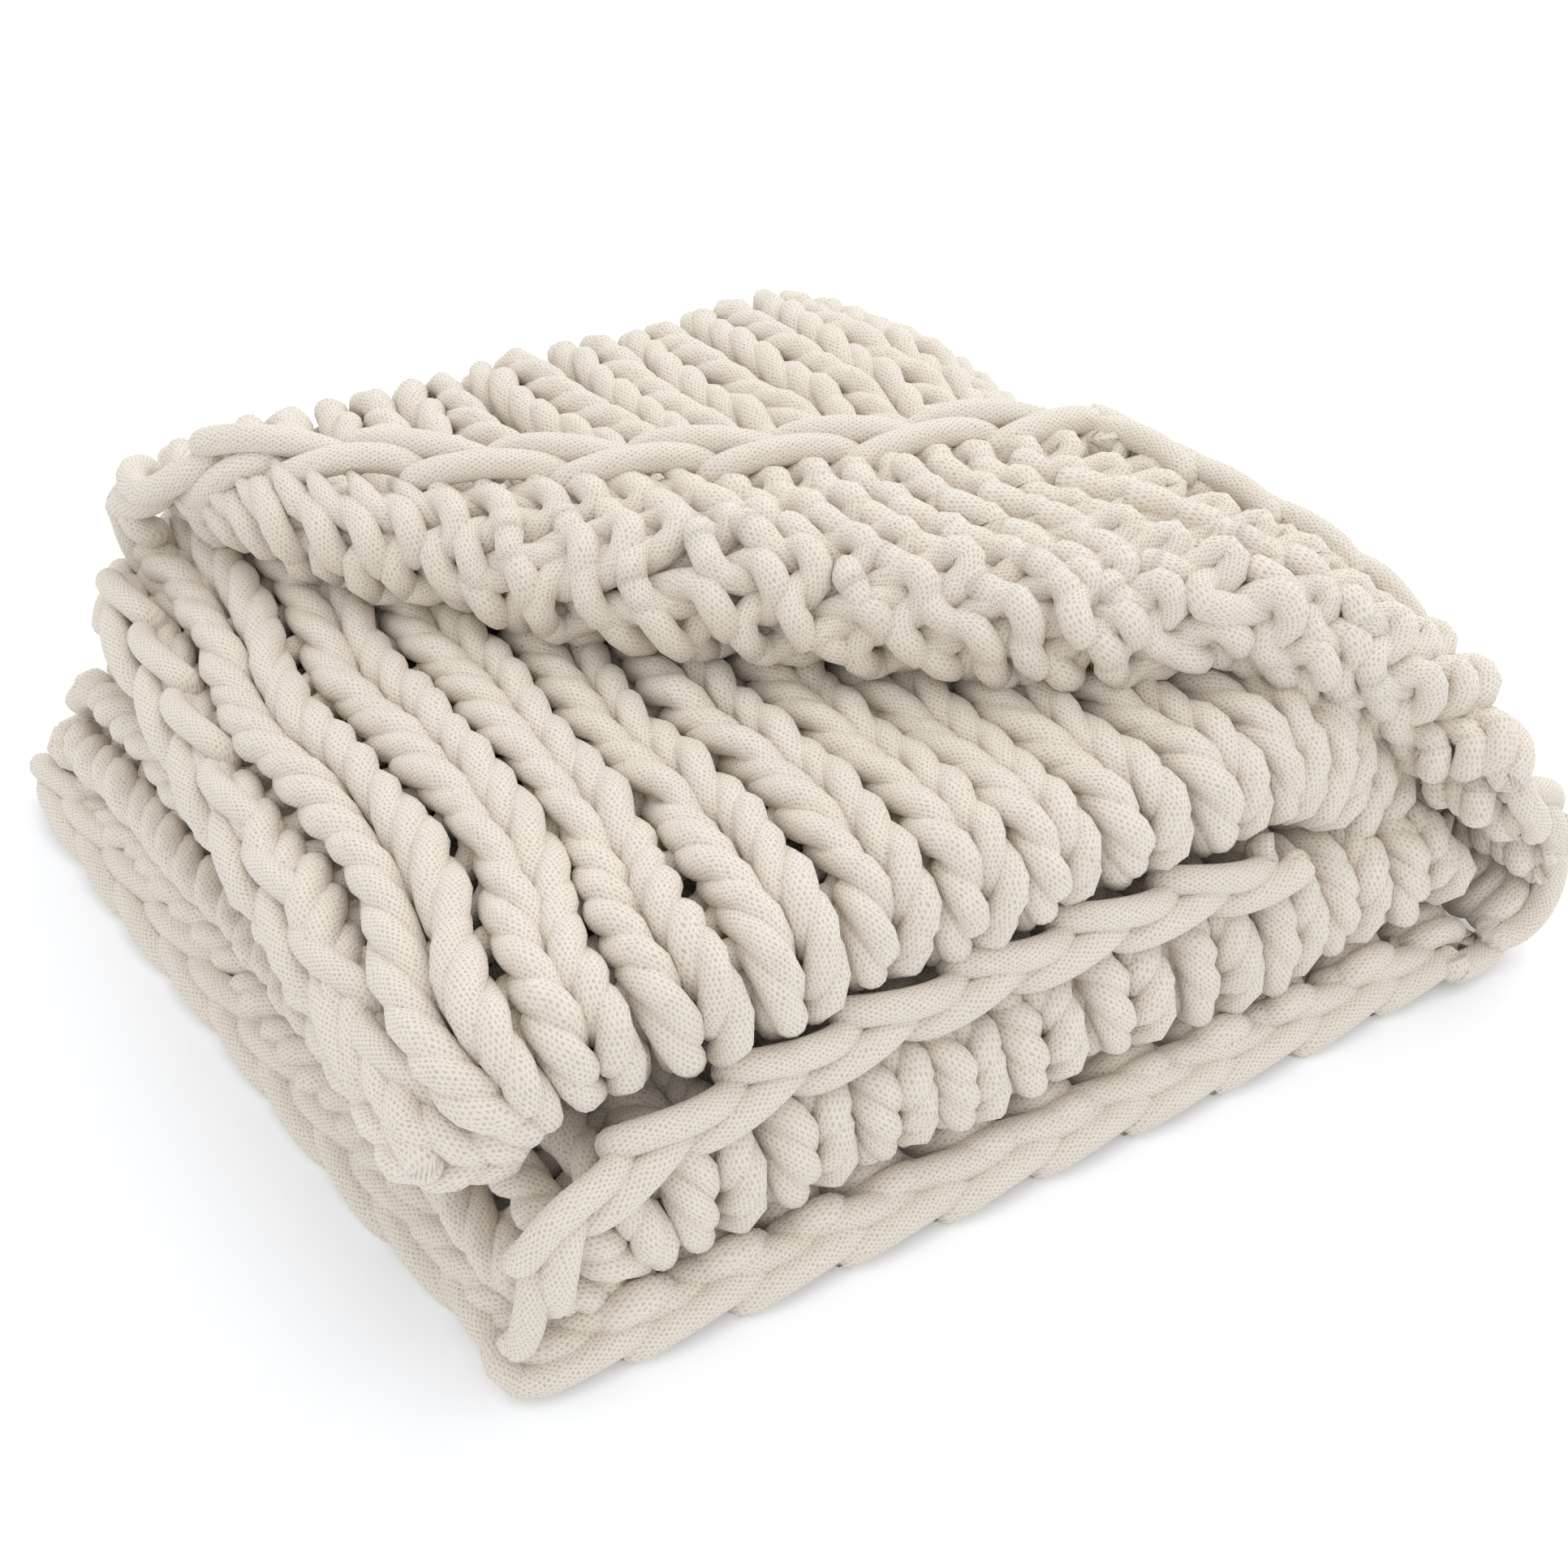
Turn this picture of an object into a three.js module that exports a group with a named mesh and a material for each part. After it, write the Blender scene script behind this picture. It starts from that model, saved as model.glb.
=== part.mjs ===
// A chunky hand-knitted cotton throw, folded: four layers zigzag from front to back, then the strip of
// four folded in half around its right end, with the near corner of the top layer turned back.
// Millimetres, +Z up, +X to the right along the front edge, origin under the middle of the bundle.
import * as THREE from 'three';

// Driving dimensions
const LAYER = 21;             // thickness of one knitted layer in the stack
const LAYERS_PER_HALF = 4;    // layers in the strip before it is folded in half
const GAP = 0.3;              // air between neighbouring solids
const HALF_WIDTH = 277.5;     // bundle, left to right, from the middle
const HALF_DEPTH = 217;       // bundle, front to back, from the middle
const EDGE_BAND = 21;         // width of a chained edge
const LEFT_FRONT = -221;      // left end of the strip at the front
const LOWER_LEFT_BACK = -HALF_WIDTH;  // the lower half spreads to the left towards the back
const UPPER_LEFT_BACK = -226; // the upper half runs almost straight
const PANEL_FRONT = -168;     // where the layers turn into the front rolls
const PANEL_BACK = 196;       // where the layers turn into the back folds
const SELVEDGE_BAND = 19;     // width of the chain of slipped stitches at the left end
const INNER_EDGE_RIGHT = 150; // where the inner chained edge turns back into the bundle
const ARC_STEPS = 7;          // facets along a half-round

// Right fold: a leaning round-ended slab that turns about the centres of its two ends
const HALF_HEIGHT = LAYER * LAYERS_PER_HALF;
const FOLD_RADIUS = HALF_HEIGHT / 2;
const LOWER_AXIS = { x: HALF_WIDTH - FOLD_RADIUS, z: FOLD_RADIUS };
const UPPER_AXIS = { x: LOWER_AXIS.x - LAYER, z: HALF_HEIGHT + FOLD_RADIUS };

// Turned-back corner: fold line from the left end to the front, and the tip of the corner
const CREASE_LEFT = new THREE.Vector2(-221, 160);
const CREASE_FRONT = new THREE.Vector2(135, -191);
const CORNER_TIP = new THREE.Vector2(140, -2);

const COTTON = new THREE.MeshStandardMaterial({ color: 0xe6dbcb, roughness: 0.95, metalness: 0 });
const COTTON_SHADE = new THREE.MeshStandardMaterial({ color: 0xd9cdbb, roughness: 0.95, metalness: 0 });

const blanket = new THREE.Group();

const layerBottom = (number) => (number - 1) * LAYER + (number > 1 ? GAP / 2 : 0);
const layerTop = (number) => number * LAYER - GAP / 2;

function add(name, geometry, material = COTTON) {
  const mesh = new THREE.Mesh(geometry, material);
  mesh.name = name;
  blanket.add(mesh);
  return mesh;
}

function outline(points) {
  return new THREE.Shape(points.map(([x, y]) => new THREE.Vector2(x, y)));
}

// A slab with the given plan outline between two heights.
function slab(points, bottom, top) {
  const geometry = new THREE.ExtrudeGeometry(outline(points), { depth: top - bottom, bevelEnabled: false });
  return geometry.translate(0, 0, bottom);
}

// A section drawn in X and Z, run from one Y to another.
function alongY(shape, front, back) {
  const depth = back - front;
  const geometry = new THREE.ExtrudeGeometry(shape, { depth, bevelEnabled: false, curveSegments: ARC_STEPS });
  return geometry.rotateX(Math.PI / 2).translate(0, back, 0);
}

// A section drawn in Y and Z, run from one X to another.
function alongX(shape, left, right) {
  const depth = right - left;
  const geometry = new THREE.ExtrudeGeometry(shape, { depth, bevelEnabled: false, curveSegments: ARC_STEPS });
  const axes = new THREE.Matrix4().makeBasis(
    new THREE.Vector3(0, 1, 0), new THREE.Vector3(0, 0, 1), new THREE.Vector3(1, 0, 0));
  return geometry.applyMatrix4(axes).translate(left, 0, 0);
}

// How far right a layer may reach before it meets the leaning fold.
function rightEnd(number) {
  const lean = (UPPER_AXIS.x - LOWER_AXIS.x) / (UPPER_AXIS.z - LOWER_AXIS.z);
  const tilt = Math.atan(lean);
  const top = Math.min(number * LAYER, UPPER_AXIS.z);
  const onAxisLine = LOWER_AXIS.x + lean * Math.max(top - LOWER_AXIS.z, 0);
  return onAxisLine - FOLD_RADIUS / Math.cos(tilt) - GAP;
}

function leftEnd(y, backLeft, inset = 0) {
  const share = (y - PANEL_FRONT) / (PANEL_BACK - PANEL_FRONT);
  return LEFT_FRONT + share * (backLeft - LEFT_FRONT) + inset;
}

function addPanel(name, number, { front, back, backLeft, inset = 0, material }) {
  const right = rightEnd(number);
  const points = [
    [leftEnd(front, backLeft, inset), front], [right, front],
    [right, back], [leftEnd(back, backLeft, inset), back],
  ];
  add(name, slab(points, layerBottom(number), layerTop(number)), material);
}

// A half-round that joins two stacked layers where they turn, bulging along -Y or +Y.
function halfRound(lowerNumber, at, side) {
  const bottom = layerBottom(lowerNumber);
  const radius = (layerTop(lowerNumber + 1) - bottom) / 2;
  const shape = new THREE.Shape();
  const start = -Math.PI / 2;
  shape.absarc(at + side * GAP, bottom + radius, radius, start, start + side * Math.PI, side < 0);
  shape.closePath();
  return shape;
}

function addTurn(name, lowerNumber, at, side, left) {
  const right = rightEnd(lowerNumber + 1);
  add(name, alongX(halfRound(lowerNumber, at, side), left, right), COTTON_SHADE);
}

// A chained edge as an eight-sided bar between two heights, along X.
function edgeSection(front, back, bottom, top) {
  const bevelY = (back - front) / 4;
  const bevelZ = (top - bottom) / 4;
  return outline([
    [front, bottom + bevelZ], [front + bevelY, bottom], [back - bevelY, bottom], [back, bottom + bevelZ],
    [back, top - bevelZ], [back - bevelY, top], [front + bevelY, top], [front, top - bevelZ],
  ]);
}

function addSelvedge(name, number, backLeft, front, back) {
  const points = [
    [leftEnd(front, backLeft), front], [leftEnd(front, backLeft, SELVEDGE_BAND), front],
    [leftEnd(back, backLeft, SELVEDGE_BAND), back], [leftEnd(back, backLeft), back],
  ];
  add(name, slab(points, layerBottom(number), layerTop(number)), COTTON_SHADE);
}

function addLowerHalf() {
  const backLeft = LOWER_LEFT_BACK;
  const inset = SELVEDGE_BAND + GAP;
  const edgeBack = -HALF_DEPTH + EDGE_BAND;
  const innerEdgeBack = PANEL_FRONT - 8;
  addPanel('bottom_panel', 1, { front: edgeBack + GAP, back: PANEL_BACK, backLeft, inset });
  addSelvedge('bottom_selvedge', 1, backLeft, edgeBack + GAP, PANEL_BACK);
  add('bottom_bind_off_edge',
    alongX(edgeSection(-HALF_DEPTH, edgeBack, 0, layerTop(1)), LEFT_FRONT, rightEnd(1)), COTTON_SHADE);
  addPanel('lower_second_panel', 2, { front: PANEL_FRONT, back: PANEL_BACK, backLeft, inset });
  addSelvedge('lower_second_selvedge', 2, backLeft, PANEL_FRONT, PANEL_BACK);
  addPanel('lower_third_panel', 3, { front: PANEL_FRONT, back: PANEL_BACK, backLeft, inset });
  addSelvedge('lower_third_selvedge', 3, backLeft, PANEL_FRONT, PANEL_BACK);
  addPanel('lower_fourth_panel', 4, { front: innerEdgeBack + GAP, back: PANEL_BACK, backLeft });
  add('inner_bind_off_edge',
    alongX(edgeSection(innerEdgeBack - EDGE_BAND, innerEdgeBack, layerBottom(4), layerTop(4)),
      LEFT_FRONT, INNER_EDGE_RIGHT), COTTON_SHADE);
  addTurn('lower_front_roll', 2, PANEL_FRONT, -1, LEFT_FRONT);
  addTurn('lower_outer_back_fold', 1, PANEL_BACK, 1, LOWER_LEFT_BACK);
  addTurn('lower_inner_back_fold', 3, PANEL_BACK, 1, LOWER_LEFT_BACK);
}

function addUpperHalf() {
  const backLeft = UPPER_LEFT_BACK;
  addPanel('upper_fourth_panel', 5, { front: PANEL_FRONT, back: PANEL_BACK, backLeft });
  addPanel('upper_third_panel', 6, { front: PANEL_FRONT, back: PANEL_BACK, backLeft });
  addPanel('main_panel', 7,
    { front: PANEL_FRONT, back: PANEL_BACK, backLeft, inset: SELVEDGE_BAND + GAP });
  addSelvedge('main_selvedge', 7, backLeft, PANEL_FRONT, PANEL_BACK);
  addTurn('upper_front_roll', 6, PANEL_FRONT, -1, LEFT_FRONT);
  addTurn('upper_inner_back_fold', 5, PANEL_BACK, 1, UPPER_LEFT_BACK);
  addTurn('upper_outer_back_fold', 7, PANEL_BACK, 1, UPPER_LEFT_BACK);
}

function addTopFlap() {
  const number = 8;
  const right = rightEnd(number);
  const clear = creaseNormal().multiplyScalar(GAP);
  const left = CREASE_LEFT.clone().add(clear);
  const front = CREASE_FRONT.clone().add(clear);
  const points = [
    [left.x, left.y], [front.x, front.y], [right, front.y], [right, PANEL_BACK], [left.x, PANEL_BACK],
  ];
  add('top_flap', slab(points, layerBottom(number), layerTop(number)));
}

// Square to the crease, towards the tip of the corner.
function creaseNormal() {
  const along = CREASE_FRONT.clone().sub(CREASE_LEFT).normalize();
  return new THREE.Vector2(-along.y, along.x);
}

// Where the line through a point, along a direction, comes within a gap of the crease.
function onCrease(point, direction) {
  const normal = creaseNormal();
  const distance = normal.dot(point.clone().sub(CREASE_LEFT));
  return point.clone().addScaledVector(direction, (GAP - distance) / normal.dot(direction));
}

// One free edge of the corner, from the crease to a mitre at the tip.
function addCornerEdge(name, number, along, inward, innerTip) {
  const clear = along.clone().multiplyScalar(GAP);
  const outerTip = CORNER_TIP.clone().add(clear);
  const inner = CORNER_TIP.clone().addScaledVector(inward, SELVEDGE_BAND);
  const mitre = innerTip.clone().addScaledVector(inward, -GAP).add(clear);
  const points = [onCrease(CORNER_TIP, along), outerTip, mitre, onCrease(inner, along)];
  add(name, slab(points.map((p) => [p.x, p.y]), layerBottom(number), layerTop(number)), COTTON_SHADE);
}

// The corner lies on the flap; its two free edges are chains, and the fabric fills what they leave.
function addTurnedCorner() {
  const number = 9;
  const toLeft = CREASE_LEFT.clone().sub(CORNER_TIP).normalize();
  const toFront = CREASE_FRONT.clone().sub(CORNER_TIP).normalize();
  const fromSelvedge = new THREE.Vector2(-toLeft.y, toLeft.x);
  const fromEdge = new THREE.Vector2(toFront.y, -toFront.x);
  const band = SELVEDGE_BAND + GAP;
  const halfAngle = Math.acos(toLeft.dot(toFront)) / 2;
  const innerTip = CORNER_TIP.clone().add(
    toLeft.clone().add(toFront).normalize().multiplyScalar(band / Math.sin(halfAngle)));
  const points = [onCrease(innerTip, toLeft), onCrease(innerTip, toFront), innerTip];
  const bottom = layerBottom(number);
  add('turned_corner', slab(points.map((p) => [p.x, p.y]), bottom, layerTop(number)));
  addCornerEdge('corner_selvedge', number, toLeft, fromSelvedge, innerTip);
  addCornerEdge('corner_bind_off_edge', number, toFront, fromEdge, innerTip);
}

// Outline of the leaning round-ended slab, in X and Z, shrunk by an amount.
function foldSection(shrink) {
  const radius = FOLD_RADIUS - shrink;
  const tilt = Math.atan2(LOWER_AXIS.x - UPPER_AXIS.x, UPPER_AXIS.z - LOWER_AXIS.z);
  const shape = new THREE.Shape();
  shape.absarc(LOWER_AXIS.x, LOWER_AXIS.z, radius, Math.PI + tilt, 2 * Math.PI + tilt, false);
  shape.absarc(UPPER_AXIS.x, UPPER_AXIS.z, radius, tilt, Math.PI + tilt, false);
  shape.closePath();
  return shape;
}

function addRightFold() {
  const edgeBack = -HALF_DEPTH + EDGE_BAND;
  add('right_fold', alongY(foldSection(GAP), edgeBack + GAP, PANEL_BACK + LAYER), COTTON_SHADE);
  const outer = FOLD_RADIUS - GAP;
  const inner = outer - EDGE_BAND;
  const bar = outline([
    [LOWER_AXIS.x + inner, LOWER_AXIS.z], [LOWER_AXIS.x + outer, LOWER_AXIS.z],
    [UPPER_AXIS.x + outer, UPPER_AXIS.z], [UPPER_AXIS.x + inner, UPPER_AXIS.z],
  ]);
  add('fold_bind_off_edge', alongY(bar, -HALF_DEPTH, edgeBack), COTTON_SHADE);
}

addLowerHalf();
addRightFold();
addUpperHalf();
addTopFlap();
addTurnedCorner();

export default blanket;
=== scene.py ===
"""A chunky hand-knitted cotton throw, folded, with the near corner of its top layer turned back.

Every knitted layer is real yarn: one stitch of stockinette is relaxed until its loops press on each
other, and copies of it are laid over the folded surfaces that the frame's solids stand for.
Lengths are millimetres until the meshes are made.
"""
import math

import bpy
import numpy as np
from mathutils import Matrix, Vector


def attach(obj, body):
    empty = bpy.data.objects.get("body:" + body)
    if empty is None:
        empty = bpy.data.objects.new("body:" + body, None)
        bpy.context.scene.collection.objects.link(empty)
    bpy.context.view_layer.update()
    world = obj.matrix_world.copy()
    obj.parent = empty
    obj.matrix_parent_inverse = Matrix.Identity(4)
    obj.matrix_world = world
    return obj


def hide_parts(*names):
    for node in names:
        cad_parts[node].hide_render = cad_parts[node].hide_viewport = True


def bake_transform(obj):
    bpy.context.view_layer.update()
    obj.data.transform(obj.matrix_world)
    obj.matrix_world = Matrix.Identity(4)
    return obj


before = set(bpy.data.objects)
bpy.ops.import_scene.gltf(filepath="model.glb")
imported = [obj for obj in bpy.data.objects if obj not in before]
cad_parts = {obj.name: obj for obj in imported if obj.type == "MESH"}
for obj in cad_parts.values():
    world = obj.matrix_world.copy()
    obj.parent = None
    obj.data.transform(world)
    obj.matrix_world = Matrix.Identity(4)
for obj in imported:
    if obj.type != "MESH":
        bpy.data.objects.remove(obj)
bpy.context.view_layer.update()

MM = 0.001

# Yarn and stitch
YARN = 12.9               # diameter of the knitted cotton tube
WALE = 37.5               # stitch width
COURSE = 18.5             # stitch height
MICRO_WALES = 20          # fine knit of the yarn itself, round it
MICRO_COURSE = 1.5        # and along it
STITCH_POINTS = 24        # points along one stitch
YARN_SIDES = 12
SEED = 7

# How far the stitches are let out on each surface
OUTER_WALE = 38.2
ROLL_WALE = 38            # about this, so that a whole number fits
UPPER_COURSE = 20.3
LOWER_COURSE = 16.6

# The outer sheet: rows run along the bundle, from under it round its right end to the top
COURSES_OUTER = 27
OUTER_WALES = 25
BACK = 200.0              # where the sheet turns in at the back
DEPTH = 398               # from there to its front edge
OUTER_LOW = 14.0          # height of its centre under the bundle
BACK_ROLL = 13            # radius of its turn at the back
CLOSER_FROM = 200         # past this the rows lie closer and closer,
CLOSER = 0.000863         # by this much for each square millimetre
LEAN = 150                # how far the front edge is drawn to the right on top
LEAN_START = 330          # where along the sheet the lean begins,
LEAN_LENGTH = 523         # and how long it takes to grow
CREASE_ACROSS = (0.703, 0.712)    # unit direction across the crease, in plan
CREASE_RADIUS = 14.5      # of the bend, at mid thickness
CREASE_MIDDLE = -60       # place along the crease where it lies furthest to the front left,
CREASE_BOW = -54          # and its offset there
CREASE_DROP = 262         # past this the crease falls away over the right fold

# Columns of the outer sheet where one piece ends and the next begins
BOTTOM_END, SIDE_END, TOP_START = 11, 13, 17
FOLD_ROWS = (24, 25, 26)  # in these rows the crease runs down over the right fold


# ---------------------------------------------------------------- one relaxed stitch

def first_guess():
    """The textbook loop of stockinette: legs in front, head and foot behind."""
    neck = 7.0               # how far the legs close in above the foot
    half_height = 23.0
    half_depth = 0.55        # in yarn diameters
    t = np.arange(STITCH_POINTS) / STITCH_POINTS * 2 * np.pi
    return np.stack([WALE * t / (2 * np.pi) + neck * np.sin(2 * t),
                     -half_height * np.cos(t), -half_depth * YARN * np.cos(2 * t)], 1)


def stretch(points, segment):
    """Pull the repeating centre line back towards its own length, in place."""
    for _ in range(2):
        ring = np.vstack([points[-1:] - [WALE, 0, 0], points, points[:1] + [WALE, 0, 0]])
        edge = np.diff(ring, axis=0)
        length = np.linalg.norm(edge, axis=1, keepdims=True)
        pull = edge / length * (length - segment)
        points += 0.25 * (pull[1:] - pull[:-1])


def relaxed_stitch(steps=260, contact=0.84):
    """Centre line of one stitch after its loops and their neighbours have pushed each other apart.

    Yarns may press to within contact of a diameter. Every step also smooths the line, keeps it mirrored
    about its head, and pulls it back to its own length."""
    points = first_guess()
    count = STITCH_POINTS
    index = np.arange(count)
    shifts = np.array([[i * WALE, j * COURSE, 0.0] for i in (-1, 0, 1) for j in range(-3, 4)])
    same_row = np.repeat(shifts[:, 1] == 0, count)
    step_index = np.tile(index, len(shifts)) + np.repeat(shifts[:, 0] / WALE * count, count)
    ring = np.vstack([points, points[:1] + [WALE, 0, 0]])
    segment = np.linalg.norm(np.diff(ring, axis=0), axis=1).mean()
    apart = np.abs(step_index[None] - index[:, None]) * segment
    skip = same_row[None] & (apart < YARN * 1.7)
    for _ in range(steps):
        others = (points[None] + shifts[:, None]).reshape(-1, 3)
        gap = points[:, None] - others[None]
        distance = np.linalg.norm(gap, axis=2) + 1e-9
        press = np.where(skip, 0, np.clip(YARN * contact - distance, 0, None))
        push = (gap / distance[..., None] * press[..., None]).sum(1)
        push /= np.maximum((press > 0).sum(1), 1)[:, None]
        before = np.vstack([points[-1:] - [WALE, 0, 0], points[:-1]])
        after = np.vstack([points[1:], points[:1] + [WALE, 0, 0]])
        points = points + 0.5 * push + 0.12 * (0.5 * (before + after) - points)
        mirrored = points[(-index) % count].copy()
        mirrored[:, 0] = WALE - mirrored[:, 0]
        mirrored[0, 0] = -points[0, 0]
        points = 0.5 * (points + mirrored)
        stretch(points, segment)
    points[:, 2] -= 0.5 * (points[:, 2].max() + points[:, 2].min())
    turn = 2 * np.pi * index / count
    points[:, 0] += 1.0 * np.sin(turn) - 1.7 * np.sin(2 * turn)   # steeper legs, paired within a stitch
    points[:, 1] *= 1.18
    return points


STITCH = relaxed_stitch()


# ---------------------------------------------------------------- smooth, seeded unevenness

class Waves:
    """A smooth random field over a surface, made of a few waves."""

    def __init__(self, seed, longest, shortest, count=7):
        rng = np.random.default_rng(seed)
        length = rng.uniform(shortest, longest, count)
        angle = rng.uniform(0, 2 * np.pi, count)
        self.across = np.cos(angle) * 2 * np.pi / length
        self.along = np.sin(angle) * 2 * np.pi / length
        self.phase = rng.uniform(0, 2 * np.pi, count)
        self.norm = math.sqrt(2.0 / count)

    def __call__(self, u, v):
        total = sum(np.sin(a * u + b * v + p) for a, b, p in zip(self.across, self.along, self.phase))
        return total * self.norm


# ---------------------------------------------------------------- paths and folded surfaces

class Path:
    """A line in a plane made of straights and arcs, read by its length."""

    def __init__(self, start, heading):
        self.points = [np.array(start, float)]
        self.heading = math.radians(heading)

    def straight(self, length, pieces=8):
        step = np.array([math.cos(self.heading), math.sin(self.heading)]) * length / pieces
        for _ in range(pieces):
            self.points.append(self.points[-1] + step)
        return self

    def bend(self, radius, degrees, pieces=24):
        turn = math.radians(degrees) / pieces
        step = 2 * radius * math.sin(abs(turn) / 2)
        for _ in range(pieces):
            self.heading += turn / 2
            direction = np.array([math.cos(self.heading), math.sin(self.heading)])
            self.points.append(self.points[-1] + direction * step)
            self.heading += turn / 2
        return self

    def finish(self, measured_out=0.0):
        """Settle the path. Lengths are those of the parallel path that lies measured_out to its left."""
        self.points = np.array(self.points)
        steps = np.diff(self.points, axis=0)
        headings = np.unwrap(np.arctan2(steps[:, 1], steps[:, 0]))
        between = 0.5 * (headings[1:] + headings[:-1])
        self.headings = np.concatenate([[headings[0]], between, [headings[-1]]])
        lengths = np.linalg.norm(steps, axis=1)
        outside = np.maximum(lengths - measured_out * np.diff(self.headings), 0.4 * lengths)
        self.at = np.concatenate([[0], np.cumsum(outside)])
        self.length = self.at[-1]
        return self

    def read(self, s):
        """Position and heading at each length; the end straights run on for ever."""
        heading = np.interp(s, self.at, self.headings)
        a = np.interp(s, self.at, self.points[:, 0])
        b = np.interp(s, self.at, self.points[:, 1])
        over = np.maximum(s - self.length, 0) + np.minimum(s, 0)
        return a + over * np.cos(heading), b + over * np.sin(heading), heading

    def place(self, s, out):
        """The point that lies `out` off the path, on its left."""
        a, b, heading = self.read(s)
        return a - out * np.sin(heading), b + out * np.cos(heading)


class Roll:
    """A sheet folded front to back, with its ends bent up or down at the left and right of the bundle.

    The across path gives depth and height over the along path; skew swings the left end out at the back."""

    def __init__(self, along, across, skew=0.0):
        self.along, self.across, self.skew = along, across, skew

    def __call__(self, u, v, h):
        y, n, heading = self.across.read(v)
        y, n = y - h * np.sin(heading), n + h * np.cos(heading)
        x, z = self.along.place(u, n)
        share = np.clip((130 - x) / 300, 0, 1)
        return np.stack([x - self.skew * (y + 165) * share, y, z], -1)


class OuterSheet:
    """The layer that runs under the bundle, round its right end and over its top to the turned corner."""

    def __init__(self):
        on_top = 300
        self.path = Path((-190, OUTER_LOW), 0).straight(414).bend(30, 100).bend(45, 38).straight(74)
        self.path.bend(110, 42)
        self.top_x = float(self.path.points[-1][0])    # where the sheet levels out on top
        self.path.straight(on_top).finish()
        self.top = self.path.length - on_top

    def __call__(self, u, v, h):
        # v runs forward: past the back edge the sheet rolls inward. Rows near the front edge lie closer,
        # because the fold that turns the corner draws them apart again
        v = v - CLOSER * np.clip(v - CLOSER_FROM, 0, None) ** 2
        y = BACK - v
        over = np.maximum(-v, 0)
        turn = np.minimum(over / BACK_ROLL, np.pi)
        flat = self.top_x - (u - self.top)
        on_top = np.clip((LEAN_START - flat) / LEAN_LENGTH, 0, 1)
        x = flat + LEAN * (np.clip(BACK - y, 0, None) / DEPTH) ** 1.8 * on_top
        # the turned corner, with s across the crease and t along it
        a, b = CREASE_ACROSS
        s = a * x + b * y
        t = b * x - a * y
        bow = np.where(t < CREASE_MIDDLE, 0.0010, 0.00063)
        crease = CREASE_BOW + bow * (t - CREASE_MIDDLE) ** 2
        crease = crease - 0.010 * np.clip(t - CREASE_DROP, 0, None) ** 2
        reach = CREASE_RADIUS
        past = np.where(x < LEAN_START, np.clip(crease + reach - s, 0, None), 0)
        angle = np.minimum(past / reach, np.pi)
        folded = angle > 0
        beyond = past - angle * reach
        s_new = crease + reach - (reach - h) * np.sin(angle) + beyond
        out = reach - (reach - h) * np.cos(angle)
        s = np.where(folded, s_new, s)
        out = np.where(folded, out, h)
        x, y = a * s + b * t, b * s - a * t
        # the back roll
        rolled = over > 0
        around = BACK_ROLL + h
        inward = np.maximum(over - BACK_ROLL * np.pi, 0)
        y = np.where(rolled, BACK + around * np.sin(turn) - inward, y)
        out = np.where(rolled, -BACK_ROLL + around * np.cos(turn), out)
        px, pz = self.path.place(self.top + self.top_x - x, -out)
        return np.stack([px, y, pz], -1)


# ---------------------------------------------------------------- yarn

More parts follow.
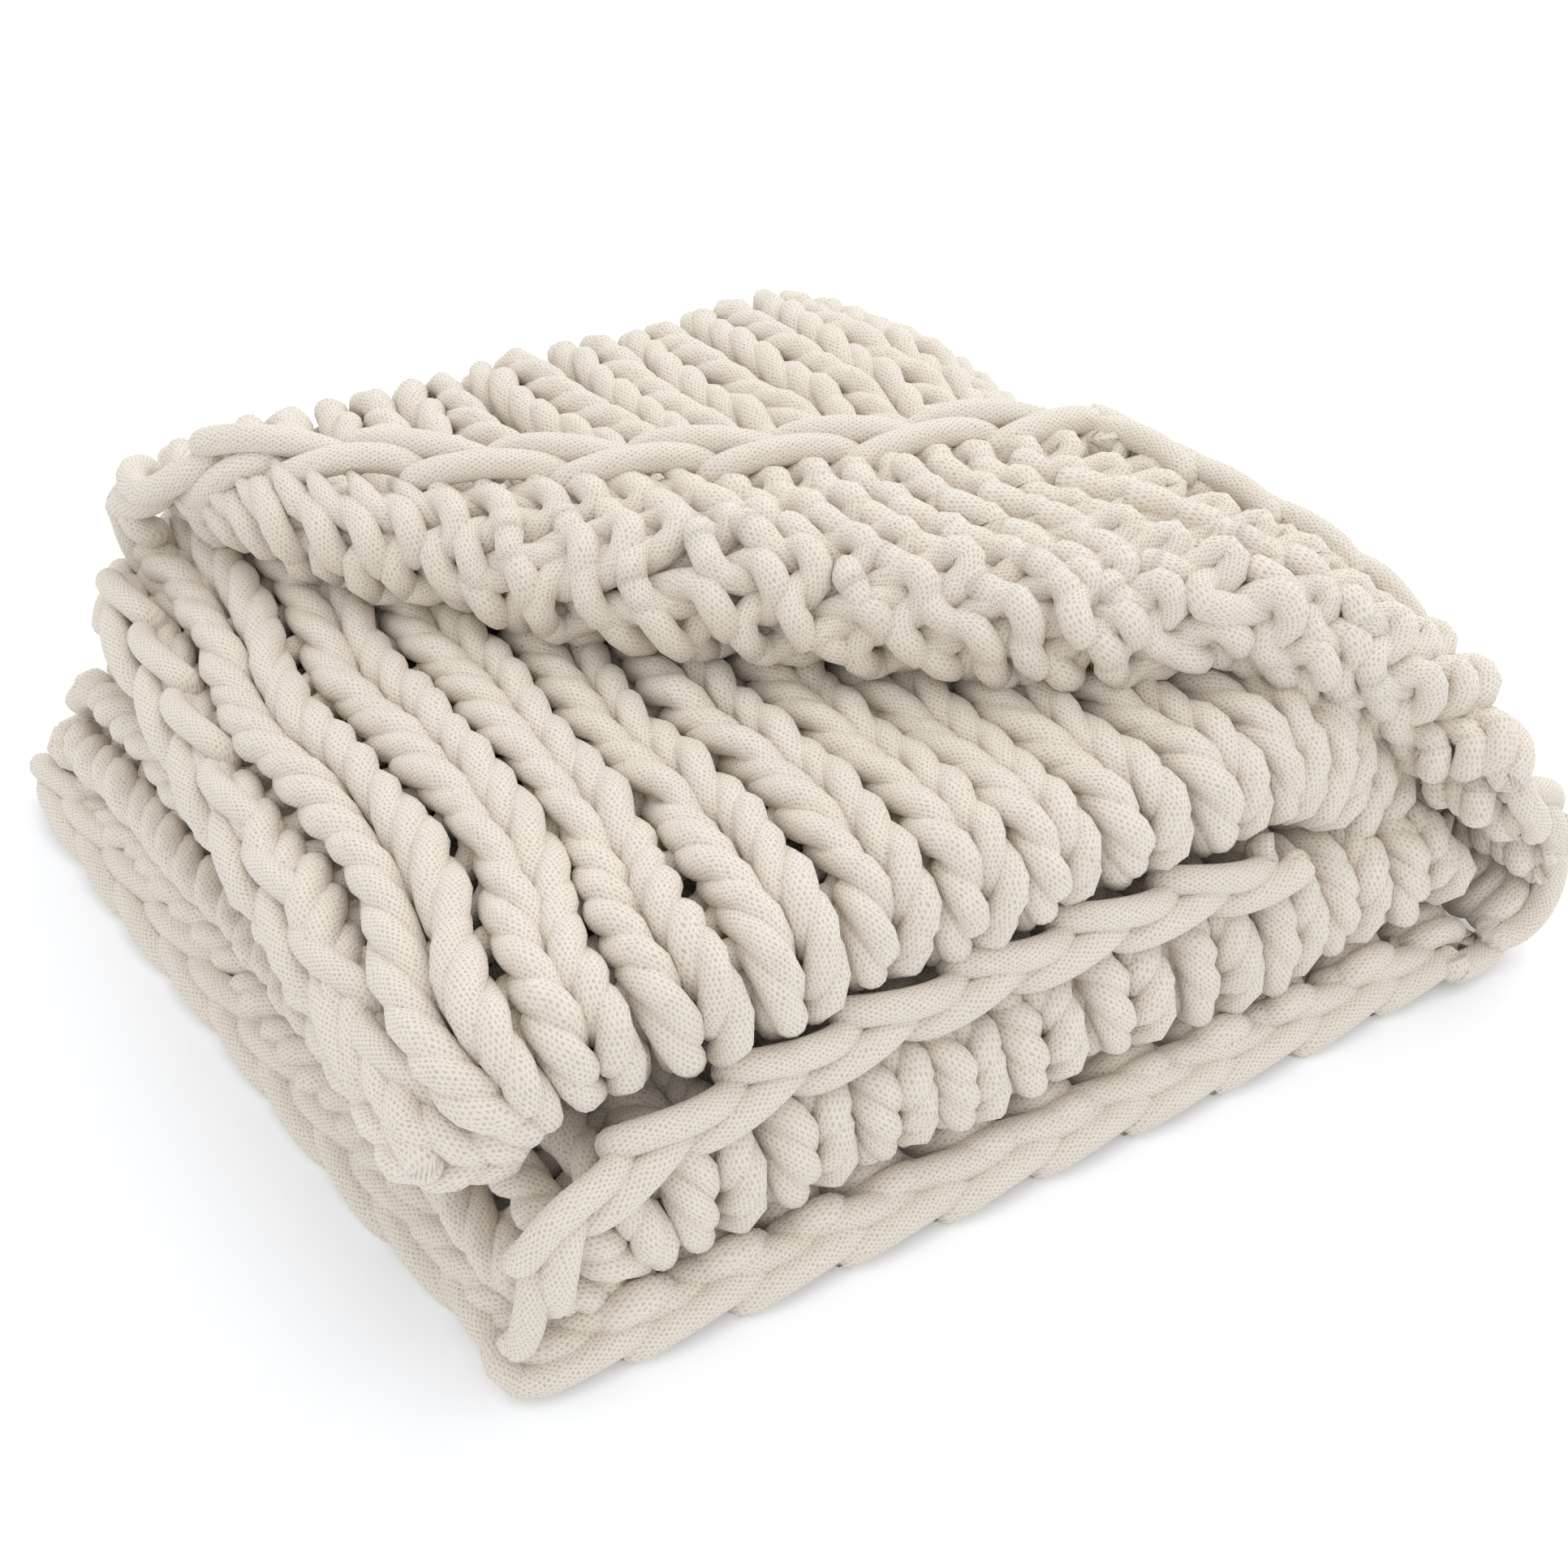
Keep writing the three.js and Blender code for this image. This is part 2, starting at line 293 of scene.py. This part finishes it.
def sweep(name, strands, references, radii, trim=False):
    """One mesh of closed tubes. UV runs round the yarn and along it, in units of its micro-knit."""
    points, faces, uvs, flats = [], [], [], []
    base = 0
    for path, reference, radius in zip(strands, references, radii):
        tangent = np.gradient(path, axis=0)
        tangent /= np.linalg.norm(tangent, axis=1, keepdims=True) + 1e-12
        if trim:
            path, tangent, reference, radius = path[1:-1], tangent[1:-1], reference[1:-1], radius[1:-1]
        count = len(path)
        side = np.cross(tangent, reference)
        side /= np.linalg.norm(side, axis=1, keepdims=True) + 1e-12
        up = np.cross(side, tangent)
        angle = np.arange(YARN_SIDES) / YARN_SIDES * 2 * np.pi
        ring = (np.cos(angle)[None, :, None] * side[:, None] + np.sin(angle)[None, :, None] * up[:, None])
        points.append((path[:, None] + ring * radius[:, None, None]).reshape(-1, 3))
        along = np.concatenate([[0], np.cumsum(np.linalg.norm(np.diff(path, axis=0), axis=1))])
        i, k = np.meshgrid(np.arange(count - 1), np.arange(YARN_SIDES), indexing="ij")
        after = (k + 1) % YARN_SIDES
        quads = np.stack([i * YARN_SIDES + k, i * YARN_SIDES + after,
                          (i + 1) * YARN_SIDES + after, (i + 1) * YARN_SIDES + k], -1).reshape(-1, 4)
        faces.append(quads + base)
        a, b = k / YARN_SIDES, (k + 1) / YARN_SIDES
        uv = np.stack([np.stack([a, along[i]], -1), np.stack([b, along[i]], -1),
                       np.stack([b, along[i + 1]], -1), np.stack([a, along[i + 1]], -1)], 2)
        uvs.append(uv.reshape(-1, 2))
        flats.append((base, base + (count - 1) * YARN_SIDES))
        base += count * YARN_SIDES
    points = np.concatenate(points) * MM
    faces = np.concatenate(faces)
    uvs = np.concatenate(uvs)
    caps = []
    for first, last in flats:
        caps.append(list(range(first + YARN_SIDES - 1, first - 1, -1)))
        caps.append(list(range(last, last + YARN_SIDES)))
    mesh = bpy.data.meshes.new(name)
    sides, ends = len(faces), len(caps)
    mesh.vertices.add(len(points))
    mesh.vertices.foreach_set("co", points.astype(np.float32).ravel())
    loops = np.concatenate([faces.ravel(), np.array(caps, int).ravel()])
    mesh.loops.add(len(loops))
    mesh.loops.foreach_set("vertex_index", loops.astype(np.int32))
    starts = np.concatenate([np.arange(sides) * 4, sides * 4 + np.arange(ends) * YARN_SIDES])
    mesh.polygons.add(sides + ends)
    mesh.polygons.foreach_set("loop_start", starts.astype(np.int32))
    layer = mesh.uv_layers.new(name="yarn")
    padded = np.concatenate([uvs, np.zeros((ends * YARN_SIDES, 2))])
    layer.data.foreach_set("uv", padded.astype(np.float32).ravel())
    mesh.update(calc_edges=True)
    mesh.polygons.foreach_set("use_smooth", np.concatenate([np.ones(sides, bool), np.zeros(ends, bool)]))
    mesh.validate()
    obj = bpy.data.objects.new(name, mesh)
    bpy.context.scene.collection.objects.link(obj)
    return obj


class Knit:
    """Courses of stitches laid on a surface. Column i of row j is one stitch; each row is one yarn."""

    def __init__(self, surface, wales, seed, v_start=0.0, wale=WALE, course=COURSE):
        self.surface, self.wales, self.seed = surface, wales, seed
        self.v_start, self.wale, self.course = v_start, wale, course

    def row(self, j, first, last):
        """Centre line, reference direction and radius of row j from column first to column last.

        A row has one point more at each end than its piece shows, so that rows cut between two pieces
        still meet ring on ring. Each stitch is set off by a walk along its row, by a shift of its own and
        by waves over the whole sheet."""
        k = np.arange(int(first * STITCH_POINTS) - 1, int(last * STITCH_POINTS) + 2)
        column, step = k // STITCH_POINTS, k % STITCH_POINTS
        x, y, z = STITCH[step].T
        rng = np.random.default_rng(self.seed * 1000 + j)
        shift = np.cumsum(rng.normal(0, 0.6, (self.wales + 2, 3)), 0)
        shift -= np.linspace(0, 1, self.wales + 2)[:, None] * shift[-1]
        shift = shift + rng.normal(0, 1.1, (self.wales + 2, 3))
        knots = np.clip(k / STITCH_POINTS, 0, self.wales + 1)
        wander = np.stack([np.interp(knots, np.arange(self.wales + 2), shift[:, a]) for a in range(3)], 1)
        drift = Waves(self.seed, 260, 90)
        lift = Waves(self.seed + 50, 190, 70)
        loose = 1 + 0.09 * Waves(self.seed + 90, 300, 100)(column * WALE, j * COURSE)
        u0 = column * WALE + x
        v0 = j * COURSE + y * loose
        u = (u0 + 3.4 * drift(u0, v0) + wander[:, 0]) * self.wale / WALE
        v = (v0 + 3.0 * lift(v0 * 0.7, u0) + wander[:, 1]) * self.course / COURSE
        h = z * (1 + 0.10 * drift(v0, u0)) + 1.1 * lift(u0, v0) + wander[:, 2] * 0.8
        v = self.v_start + v
        line = self.surface(u, v, h)
        reference = self.surface(u, v, h + 1.0) - line
        radius = YARN / 2 * (1 + 0.05 * Waves(self.seed + j, 120, 22)(k * 5.4, 0 * k))
        close = np.array([0.3, 0.3, 0.72, 0.93])    # the yarn's own ends are rounded off
        if first == 0:
            radius[:4] *= close
        if last == self.wales:
            radius[-4:] *= close[::-1]
        return line, reference, radius

    def piece(self, name, spans):
        """One object from rows and the columns they cover: {row: (first, last)}."""
        rows = [self.row(j, *span) for j, span in spans.items() if span[1] > span[0]]
        return sweep(name, *zip(*rows), trim=True)


def smooth_curve(knots, step=2.0):
    """Even points along a Catmull-Rom line through the knots."""
    knots = np.array(knots, float)
    ends = np.vstack([2 * knots[0] - knots[1], knots, 2 * knots[-1] - knots[-2]])
    out = []
    for i in range(1, len(ends) - 2):
        a, b, c, d = ends[i - 1:i + 3]
        t = np.linspace(0, 1, 40, endpoint=False)[:, None]
        out.append(0.5 * (2 * b + (c - a) * t + (2 * a - 5 * b + 4 * c - d) * t ** 2
                          + (3 * b - a - 3 * c + d) * t ** 3))
    line = np.vstack(out + [knots[-1:]])
    at = np.concatenate([[0], np.cumsum(np.linalg.norm(np.diff(line, axis=0), axis=1))])
    even = np.linspace(0, at[-1], max(int(at[-1] / step), 8))
    return np.stack([np.interp(even, at, line[:, a]) for a in range(3)], 1)


def chain(name, knots, up, link=37.0, width=0.88, seed=1):
    """A chained edge: two yarns that take turns over each other along a line. up is the chain's face,
    one direction or one per knot."""
    guide = smooth_curve(knots)
    steps = np.linalg.norm(np.diff(guide, axis=0), axis=1)
    at = np.concatenate([[0], np.cumsum(steps)])
    tangent = np.gradient(guide, axis=0)
    tangent /= np.linalg.norm(tangent, axis=1, keepdims=True)
    up = np.array(up, float)
    if up.ndim == 1:
        face = np.repeat(up[None], len(guide), 0)
    else:
        spread = np.linspace(0, 1, len(up))
        face = np.stack([np.interp(at / at[-1], spread, up[:, a]) for a in range(3)], 1)
    side = np.cross(face, tangent)
    side /= np.linalg.norm(side, axis=1, keepdims=True)
    face = np.cross(tangent, side)
    links = max(int(round(at[-1] / link)), 1)
    real = at[-1] / links
    k = 2.2 if real < 45 else 1.2
    rng = np.random.default_rng(seed)
    strands, references, radii = [], [], []
    for sign in (1, -1):
        theta = np.linspace(0.0, 2 * np.pi * links, int(links * 26) + 1)
        phase = theta + (0 if sign > 0 else np.pi)
        wob = np.interp(theta, np.linspace(0, theta[-1], links * 2 + 1), rng.normal(0, 0.6, links * 2 + 1))
        p = np.clip(real / (2 * np.pi) * (theta - k * np.cos(phase)), 0, at[-1])
        lateral = sign * width * YARN * (0.50 + 0.34 * np.cos(phase)) + wob
        height = 0.40 * YARN * np.sin(phase) + wob * 0.6
        centre = np.stack([np.interp(p, at, guide[:, a]) for a in range(3)], 1)
        sideways = np.stack([np.interp(p, at, side[:, a]) for a in range(3)], 1)
        upward = np.stack([np.interp(p, at, face[:, a]) for a in range(3)], 1)
        line = centre + sideways * lateral[:, None] + upward * height[:, None]
        keep = np.concatenate([[True], np.linalg.norm(np.diff(line, axis=0), axis=1) > 0.3])
        strands.append(line[keep])
        references.append(upward[keep])
        radii.append(np.full(keep.sum(), YARN / 2) * (1 + 0.03 * rng.normal()))
    return sweep(name, strands, references, radii)


# ---------------------------------------------------------------- cotton

def cotton(name, tone):
    """Cream cotton tube: a fine knit of its own, soft creases along it, and a bloom of fuzz."""
    material = bpy.data.materials.new(name)
    material.use_nodes = True
    nodes, links = material.node_tree.nodes, material.node_tree.links
    nodes.clear()

    def node(kind, **values):
        made = nodes.new(kind)
        for key, value in values.items():
            if key in made.inputs.keys():
                made.inputs[key].default_value = value
            else:
                setattr(made, key, value)
        return made

    def maths(operation, a, b=None, c=None):
        made = nodes.new("ShaderNodeMath")
        made.operation = operation
        for socket, value in zip(made.inputs, (a, b, c)):
            if value is None:
                continue
            if isinstance(value, (int, float)):
                socket.default_value = value
            else:
                links.new(value, socket)
        return made.outputs[0]

    uv = node("ShaderNodeUVMap", uv_map="yarn")
    split = node("ShaderNodeSeparateXYZ")
    links.new(uv.outputs[0], split.inputs[0])
    ridges = maths("MULTIPLY", split.outputs[0], float(MICRO_WALES))
    rows = maths("DIVIDE", split.outputs[1], MICRO_COURSE)
    place = node("ShaderNodeTexCoord")
    warp = node("ShaderNodeTexNoise", Scale=260.0, Detail=2.0)
    links.new(place.outputs["Object"], warp.inputs["Vector"])
    ridges = maths("ADD", ridges, maths("MULTIPLY", warp.outputs[0], 1.2))
    rows = maths("ADD", rows, maths("MULTIPLY", warp.outputs[0], 0.9))
    # each micro-stitch is a small dark dot of painted shade between two pale legs, every second row half a
    # step over
    half = maths("MULTIPLY", maths("FLOOR", rows), 0.5)
    across = maths("SUBTRACT", maths("FRACT", maths("ADD", ridges, half)), 0.5)
    along = maths("SUBTRACT", maths("FRACT", rows), 0.5)
    a2 = maths("POWER", maths("MULTIPLY", across, 4.4), 2.0)
    b2 = maths("POWER", maths("MULTIPLY", along, 2.5), 2.0)
    dot = maths("SUBTRACT", 1.0, maths("MINIMUM", maths("ADD", a2, b2), 1.0))

    patch = node("ShaderNodeTexNoise", Scale=14.0, Detail=3.0)
    links.new(place.outputs["Object"], patch.inputs["Vector"])
    crease = node("ShaderNodeTexNoise", Scale=1.0, Detail=3.0)
    stretch_uv = node("ShaderNodeCombineXYZ")
    links.new(maths("MULTIPLY", split.outputs[0], 9.0), stretch_uv.inputs[0])
    links.new(maths("MULTIPLY", split.outputs[1], 0.05), stretch_uv.inputs[1])
    links.new(stretch_uv.outputs[0], crease.inputs["Vector"])
    fuzz = node("ShaderNodeTexNoise", Scale=1500.0, Detail=2.0)
    links.new(place.outputs["Object"], fuzz.inputs["Vector"])

    base = node("ShaderNodeMix", data_type="RGBA")
    base.inputs[6].default_value = (*[c * 0.93 for c in tone[:2]], tone[2] * 0.90, 1)
    base.inputs[7].default_value = (*[min(c * 1.05, 1) for c in tone], 1)
    links.new(patch.outputs[0], base.inputs[0])
    # painted shade: the micro-stitch dots are mixed towards a darker tone, standing for the shade in the
    # gaps between their legs
    shade = node("ShaderNodeMix", data_type="RGBA")
    shade.inputs[7].default_value = (tone[0] * 0.66, tone[1] * 0.59, tone[2] * 0.50, 1)
    links.new(base.outputs[2], shade.inputs[6])
    links.new(maths("MULTIPLY", dot, 0.62), shade.inputs[0])

    height = maths("SUBTRACT", maths("MULTIPLY", crease.outputs[0], 1.3), maths("MULTIPLY", dot, 0.34))
    height = maths("ADD", height, maths("MULTIPLY", fuzz.outputs[0], 0.16))
    bump = node("ShaderNodeBump", Strength=0.75, Distance=0.0011)
    links.new(height, bump.inputs["Height"])
    shader = node("ShaderNodeBsdfPrincipled", Roughness=0.92)
    shader.inputs["Sheen Weight"].default_value = 0.35
    shader.inputs["Sheen Roughness"].default_value = 0.55
    shader.inputs["Sheen Tint"].default_value = (1.0, 0.97, 0.92, 1)
    shader.inputs["Specular IOR Level"].default_value = 0.18
    links.new(shade.outputs[2], shader.inputs["Base Color"])
    links.new(bump.outputs[0], shader.inputs["Normal"])
    output = node("ShaderNodeOutputMaterial")
    links.new(shader.outputs[0], output.inputs[0])
    return material


KNIT = cotton("cotton_knit", (0.80, 0.735, 0.655))
EDGE = cotton("cotton_edge", (0.79, 0.725, 0.645))


def finish_piece(obj, material, nodes):
    """Give a piece its cotton and its slot, and let it take the place of its CAD nodes."""
    obj.data.materials.append(material)
    if nodes:
        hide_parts(*nodes)
    return obj


def knitted(obj, *nodes):
    return finish_piece(obj, KNIT, nodes)


def edging(obj, *nodes):
    return finish_piece(obj, EDGE, nodes)


# ---------------------------------------------------------------- the outer sheet

outer = OuterSheet()
outer_knit = Knit(outer, OUTER_WALES, SEED, v_start=-2.0 * COURSE, wale=OUTER_WALE)
v_front = outer_knit.v_start + (COURSES_OUTER - 0.5) * COURSE


def crease_columns(j):
    """First and last column of row j that lie in the bend of the turned corner."""
    columns = np.arange(TOP_START, OUTER_WALES + 1)
    feet = outer_knit.row(j, TOP_START, OUTER_WALES)[0][1::STITCH_POINTS]
    if j in FOLD_ROWS:
        level, low, high = feet[:, 1] + feet[:, 2], -14, 48    # measured along the rim's turn
    else:
        level, low, high = feet[:, 2], 157, 179                # measured by height
    turned = [c for c in columns if level[c - TOP_START] > low]
    if not turned:
        return OUTER_WALES, OUTER_WALES
    finished = [c for c in columns if level[c - TOP_START] > high]
    return max(min(turned) - 1, TOP_START), (min(finished) if finished else OUTER_WALES)


rows = range(COURSES_OUTER)
bends = {j: crease_columns(j) for j in rows}


def outer_piece(name, spans, *nodes):
    """A piece of the outer sheet, from {row: (first column, last column)}."""
    return knitted(outer_knit.piece(name, spans), *nodes)


bottom = outer_piece("bottom_knit", {j: (0, BOTTOM_END) for j in rows},
                     "bottom_panel", "lower_second_panel", "lower_outer_back_fold")
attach(bottom, "lower_half")
side_low = outer_piece("right_fold_lower_knit", {j: (BOTTOM_END, SIDE_END) for j in rows}, "right_fold")
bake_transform(side_low)
side_high = outer_piece("right_fold_upper_knit", {j: (SIDE_END, TOP_START) for j in rows})
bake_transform(side_high)
flap = outer_piece("top_flap_knit", {j: (TOP_START, bends[j][0]) for j in rows},
                   "top_flap", "upper_outer_back_fold")
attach(flap, "upper_half")
bend_main = outer_piece("crease_knit", {j: bends[j] for j in rows if j not in FOLD_ROWS})
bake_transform(bend_main)
bend_end = outer_piece("crease_end_knit", {j: bends[j] for j in FOLD_ROWS})
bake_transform(bend_end)
corner = outer_piece("turned_corner_knit", {j: (bends[j][1], OUTER_WALES) for j in rows}, "turned_corner")
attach(corner, "turned_corner")

# ---------------------------------------------------------------- the two rolls inside it

def roll_knit(roll, course, seed):
    """The knit that fills a roll, with its number of rows."""
    wales = int(round(roll.along.length / ROLL_WALE))
    courses = int(roll.across.length / course)
    return Knit(roll, wales, seed, v_start=4.0, wale=roll.along.length / wales, course=course), courses


def roll_piece(name, knit, courses, first, last):
    """The columns of a roll from first to last, in every row."""
    return knit.piece(name, {j: (first, last) for j in range(courses)})


upper_along = (Path((-210, 86), 90).bend(28, -90).straight(304).bend(70, -42).straight(40)
               .bend(26, -48).straight(6).finish(16))
upper_across = (Path((150, 6), 0).straight(42).bend(11, -180).straight(354).bend(16, -180)
                .straight(360).finish(9))
upper_knit, upper_rows = roll_knit(Roll(upper_along, upper_across), UPPER_COURSE, SEED + 1)
upper_cut = upper_knit.wales - 2
upper_main = knitted(roll_piece("upper_half_knit", upper_knit, upper_rows, 0, upper_cut),
                     "main_panel", "upper_third_panel", "upper_fourth_panel", "upper_front_roll",
                     "upper_inner_back_fold")
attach(upper_main, "upper_half")
upper_end = knitted(roll_piece("upper_half_end_knit", upper_knit, upper_rows, upper_cut, upper_knit.wales))
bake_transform(upper_end)

lower_along = Path((-189, 10), 90).straight(5).bend(35, -90).straight(358).bend(26, 62).finish(12)
lower_across = (Path((-70, -17), 180).straight(110).bend(17, -180).straight(370).bend(11, -180)
                .straight(40).finish(9))
lower_knit, lower_rows = roll_knit(Roll(lower_along, lower_across, skew=0.14), LOWER_COURSE, SEED + 2)
lower_cut = lower_knit.wales - 2
lower_main = knitted(roll_piece("lower_half_knit", lower_knit, lower_rows, 0, lower_cut),
                     "lower_third_panel", "lower_fourth_panel", "lower_front_roll",
                     "lower_inner_back_fold")
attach(lower_main, "lower_half")
lower_end = knitted(roll_piece("lower_half_end_knit", lower_knit, lower_rows, lower_cut, lower_knit.wales))
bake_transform(lower_end)

# ---------------------------------------------------------------- chained front edge

def outer_edge(columns, beyond, rise):
    """A line along the front edge of the outer sheet, with its outward and its forward direction."""
    u = columns * OUTER_WALE
    v = v_front + beyond + 0 * u
    h = rise + 0 * u
    line = outer(u, v, h)
    return line, outer(u, v, h + 1.0) - line, outer(u, v + 1.0, h) - line


bottom_line = [(-208, -192, 8), (-190, -206, 9), (0, -211, 10), (212, -210, 10)]
front_edge = edging(chain("bottom_chain", bottom_line, (0, -0.6, 0.8), link=42, width=0.72, seed=3),
                    "bottom_bind_off_edge")
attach(front_edge, "lower_half")

EDGE_BEYOND, EDGE_RISE = 26, 6.0    # past the last row's centre, and off the sheet's face
line, away, forward = outer_edge(np.linspace(10.5, SIDE_END, 6), EDGE_BEYOND, EDGE_RISE)
fold_edge_low = edging(chain("fold_chain_lower", line, away * 0.5 + forward, seed=4), "fold_bind_off_edge")
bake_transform(fold_edge_low)
line, away, forward = outer_edge(np.linspace(SIDE_END, TOP_START, 8), EDGE_BEYOND, EDGE_RISE)
fold_edge_high = edging(chain("fold_chain_upper", line, away * 0.5 + forward, seed=5))
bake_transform(fold_edge_high)

# on the corner the chain changes over to the side of the sheet that the turn has brought up
columns = np.linspace(TOP_START, OUTER_WALES + 0.25, 17)
beyond = np.interp(columns, [TOP_START, 19.5], [EDGE_BEYOND, 13])
rise = np.interp(columns, [TOP_START, 19], [EDGE_RISE, -8.5])
line, away, forward = outer_edge(columns, beyond, rise)
away_share = np.interp(columns, [TOP_START, 19], [0.5, -1.0])[:, None]
forward_share = np.interp(columns, [TOP_START, 19], [1.0, 0.3])[:, None]
face = away * away_share + forward * forward_share
tip_edge = edging(chain("corner_chain", line, face, width=0.92, seed=6), "corner_bind_off_edge")
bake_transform(tip_edge)

# ---------------------------------------------------------------- selvedges

SIDE_RISE = -9.0    # the corner's selvedge stands off the side of the sheet that shows
side_v = np.linspace(outer_knit.v_start + 2.2 * COURSE, v_front + 10, 12)
side_u = np.full(12, OUTER_WALES * OUTER_WALE + 8.0)
line = outer(side_u, side_v, np.full(12, SIDE_RISE))
away = outer(side_u, side_v, np.full(12, SIDE_RISE - 1.0)) - line
line = np.vstack([[(-206, 178, 122), (-207, 190, 144)], line])    # it comes up round the bundle's back left
away = np.vstack([[(-1, 0.4, 0.2), (-0.8, 0.4, 0.6)], away])
corner_side = edging(chain("corner_selvedge_chain", line, away, link=60, width=0.9, seed=7),
                     "corner_selvedge")
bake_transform(corner_side)

LEFT_UP = (-0.8, 0, 0.6)
main_line = [(-219, -178, 104), (-225, -110, 108), (-228, 0, 112), (-226, 176, 118)]
upper_side = edging(chain("main_selvedge_chain", main_line, LEFT_UP, link=54, width=0.95, seed=8),
                    "main_selvedge")
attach(upper_side, "upper_half")
ground_line = [(-206, -190, 9), (-224, -100, 10), (-250, 60, 11), (-270, 206, 12)]
ground_side = edging(chain("ground_selvedge_chain", ground_line, LEFT_UP, link=46, width=0.75, seed=9),
                     "bottom_selvedge", "lower_second_selvedge", "lower_third_selvedge")
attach(ground_side, "lower_half")

# ---------------------------------------------------------------- front edge of the inside end

inner_line = [(-205, -202, 22), (-200, -204, 56), (-176, -199, 78), (-100, -190, 86), (40, -188, 88),
              (132, -192, 84)]
groove_edge = edging(chain("inner_chain", inner_line, (0, -1, 0.3), link=46, width=0.72, seed=10),
                     "inner_bind_off_edge")
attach(groove_edge, "lower_half")

# ---------------------------------------------------------------- floor, light and camera

def plain(name, color, roughness):
    """A material of one colour."""
    material = bpy.data.materials.new(name)
    material.use_nodes = True
    shader = material.node_tree.nodes["Principled BSDF"]
    shader.inputs["Base Color"].default_value = (*color, 1)
    shader.inputs["Roughness"].default_value = roughness
    return material


bpy.ops.mesh.primitive_plane_add(size=30)
floor = bpy.context.object
floor.name = "floor"
paper = plain("paper", (0.95, 0.965, 0.985), 0.9)    # glows a little, so that it stays near white
glow = paper.node_tree.nodes["Principled BSDF"]
glow.inputs["Emission Color"].default_value = (0.97, 0.98, 1.0, 1)
glow.inputs["Emission Strength"].default_value = 0.08
floor.data.materials.append(paper)

world = bpy.data.worlds.new("studio")
bpy.context.scene.world = world
world.use_nodes = True
world.node_tree.nodes["Background"].inputs[0].default_value = (0.97, 0.98, 1.0, 1)
world.node_tree.nodes["Background"].inputs[1].default_value = 0.95


def lamp(name, location, target, size, energy, color):
    """A square soft light aimed at a point."""
    data = bpy.data.lights.new(name, "AREA")
    data.size, data.energy, data.color = size, energy, color
    obj = bpy.data.objects.new(name, data)
    bpy.context.scene.collection.objects.link(obj)
    obj.location = location
    obj.rotation_euler = (Vector(target) - Vector(location)).to_track_quat("-Z", "Y").to_euler()
    return obj


middle = (0, 0, 0.05)
key = lamp("key", (0.45, 0.1, 2.1), middle, size=1.7, energy=10, color=(1.0, 0.99, 0.97))
rim = lamp("rim", (1.6, 0.6, 1.2), middle, size=1.2, energy=7, color=(0.96, 0.98, 1.0))
bpy.context.scene.view_settings.view_transform = "Standard"

camera_data = bpy.data.cameras.new("camera")
camera_data.sensor_width, camera_data.lens = 36, 46.58
camera = bpy.data.objects.new("camera", camera_data)
bpy.context.scene.collection.objects.link(camera)
camera.location = (-0.3411, -0.6144, 0.6104)
camera.rotation_euler = Vector((0.3866, 0.6739, -0.6296)).to_track_quat("-Z", "Y").to_euler()
camera_data.clip_start, camera_data.clip_end = 0.02, 60
bpy.context.scene.camera = camera
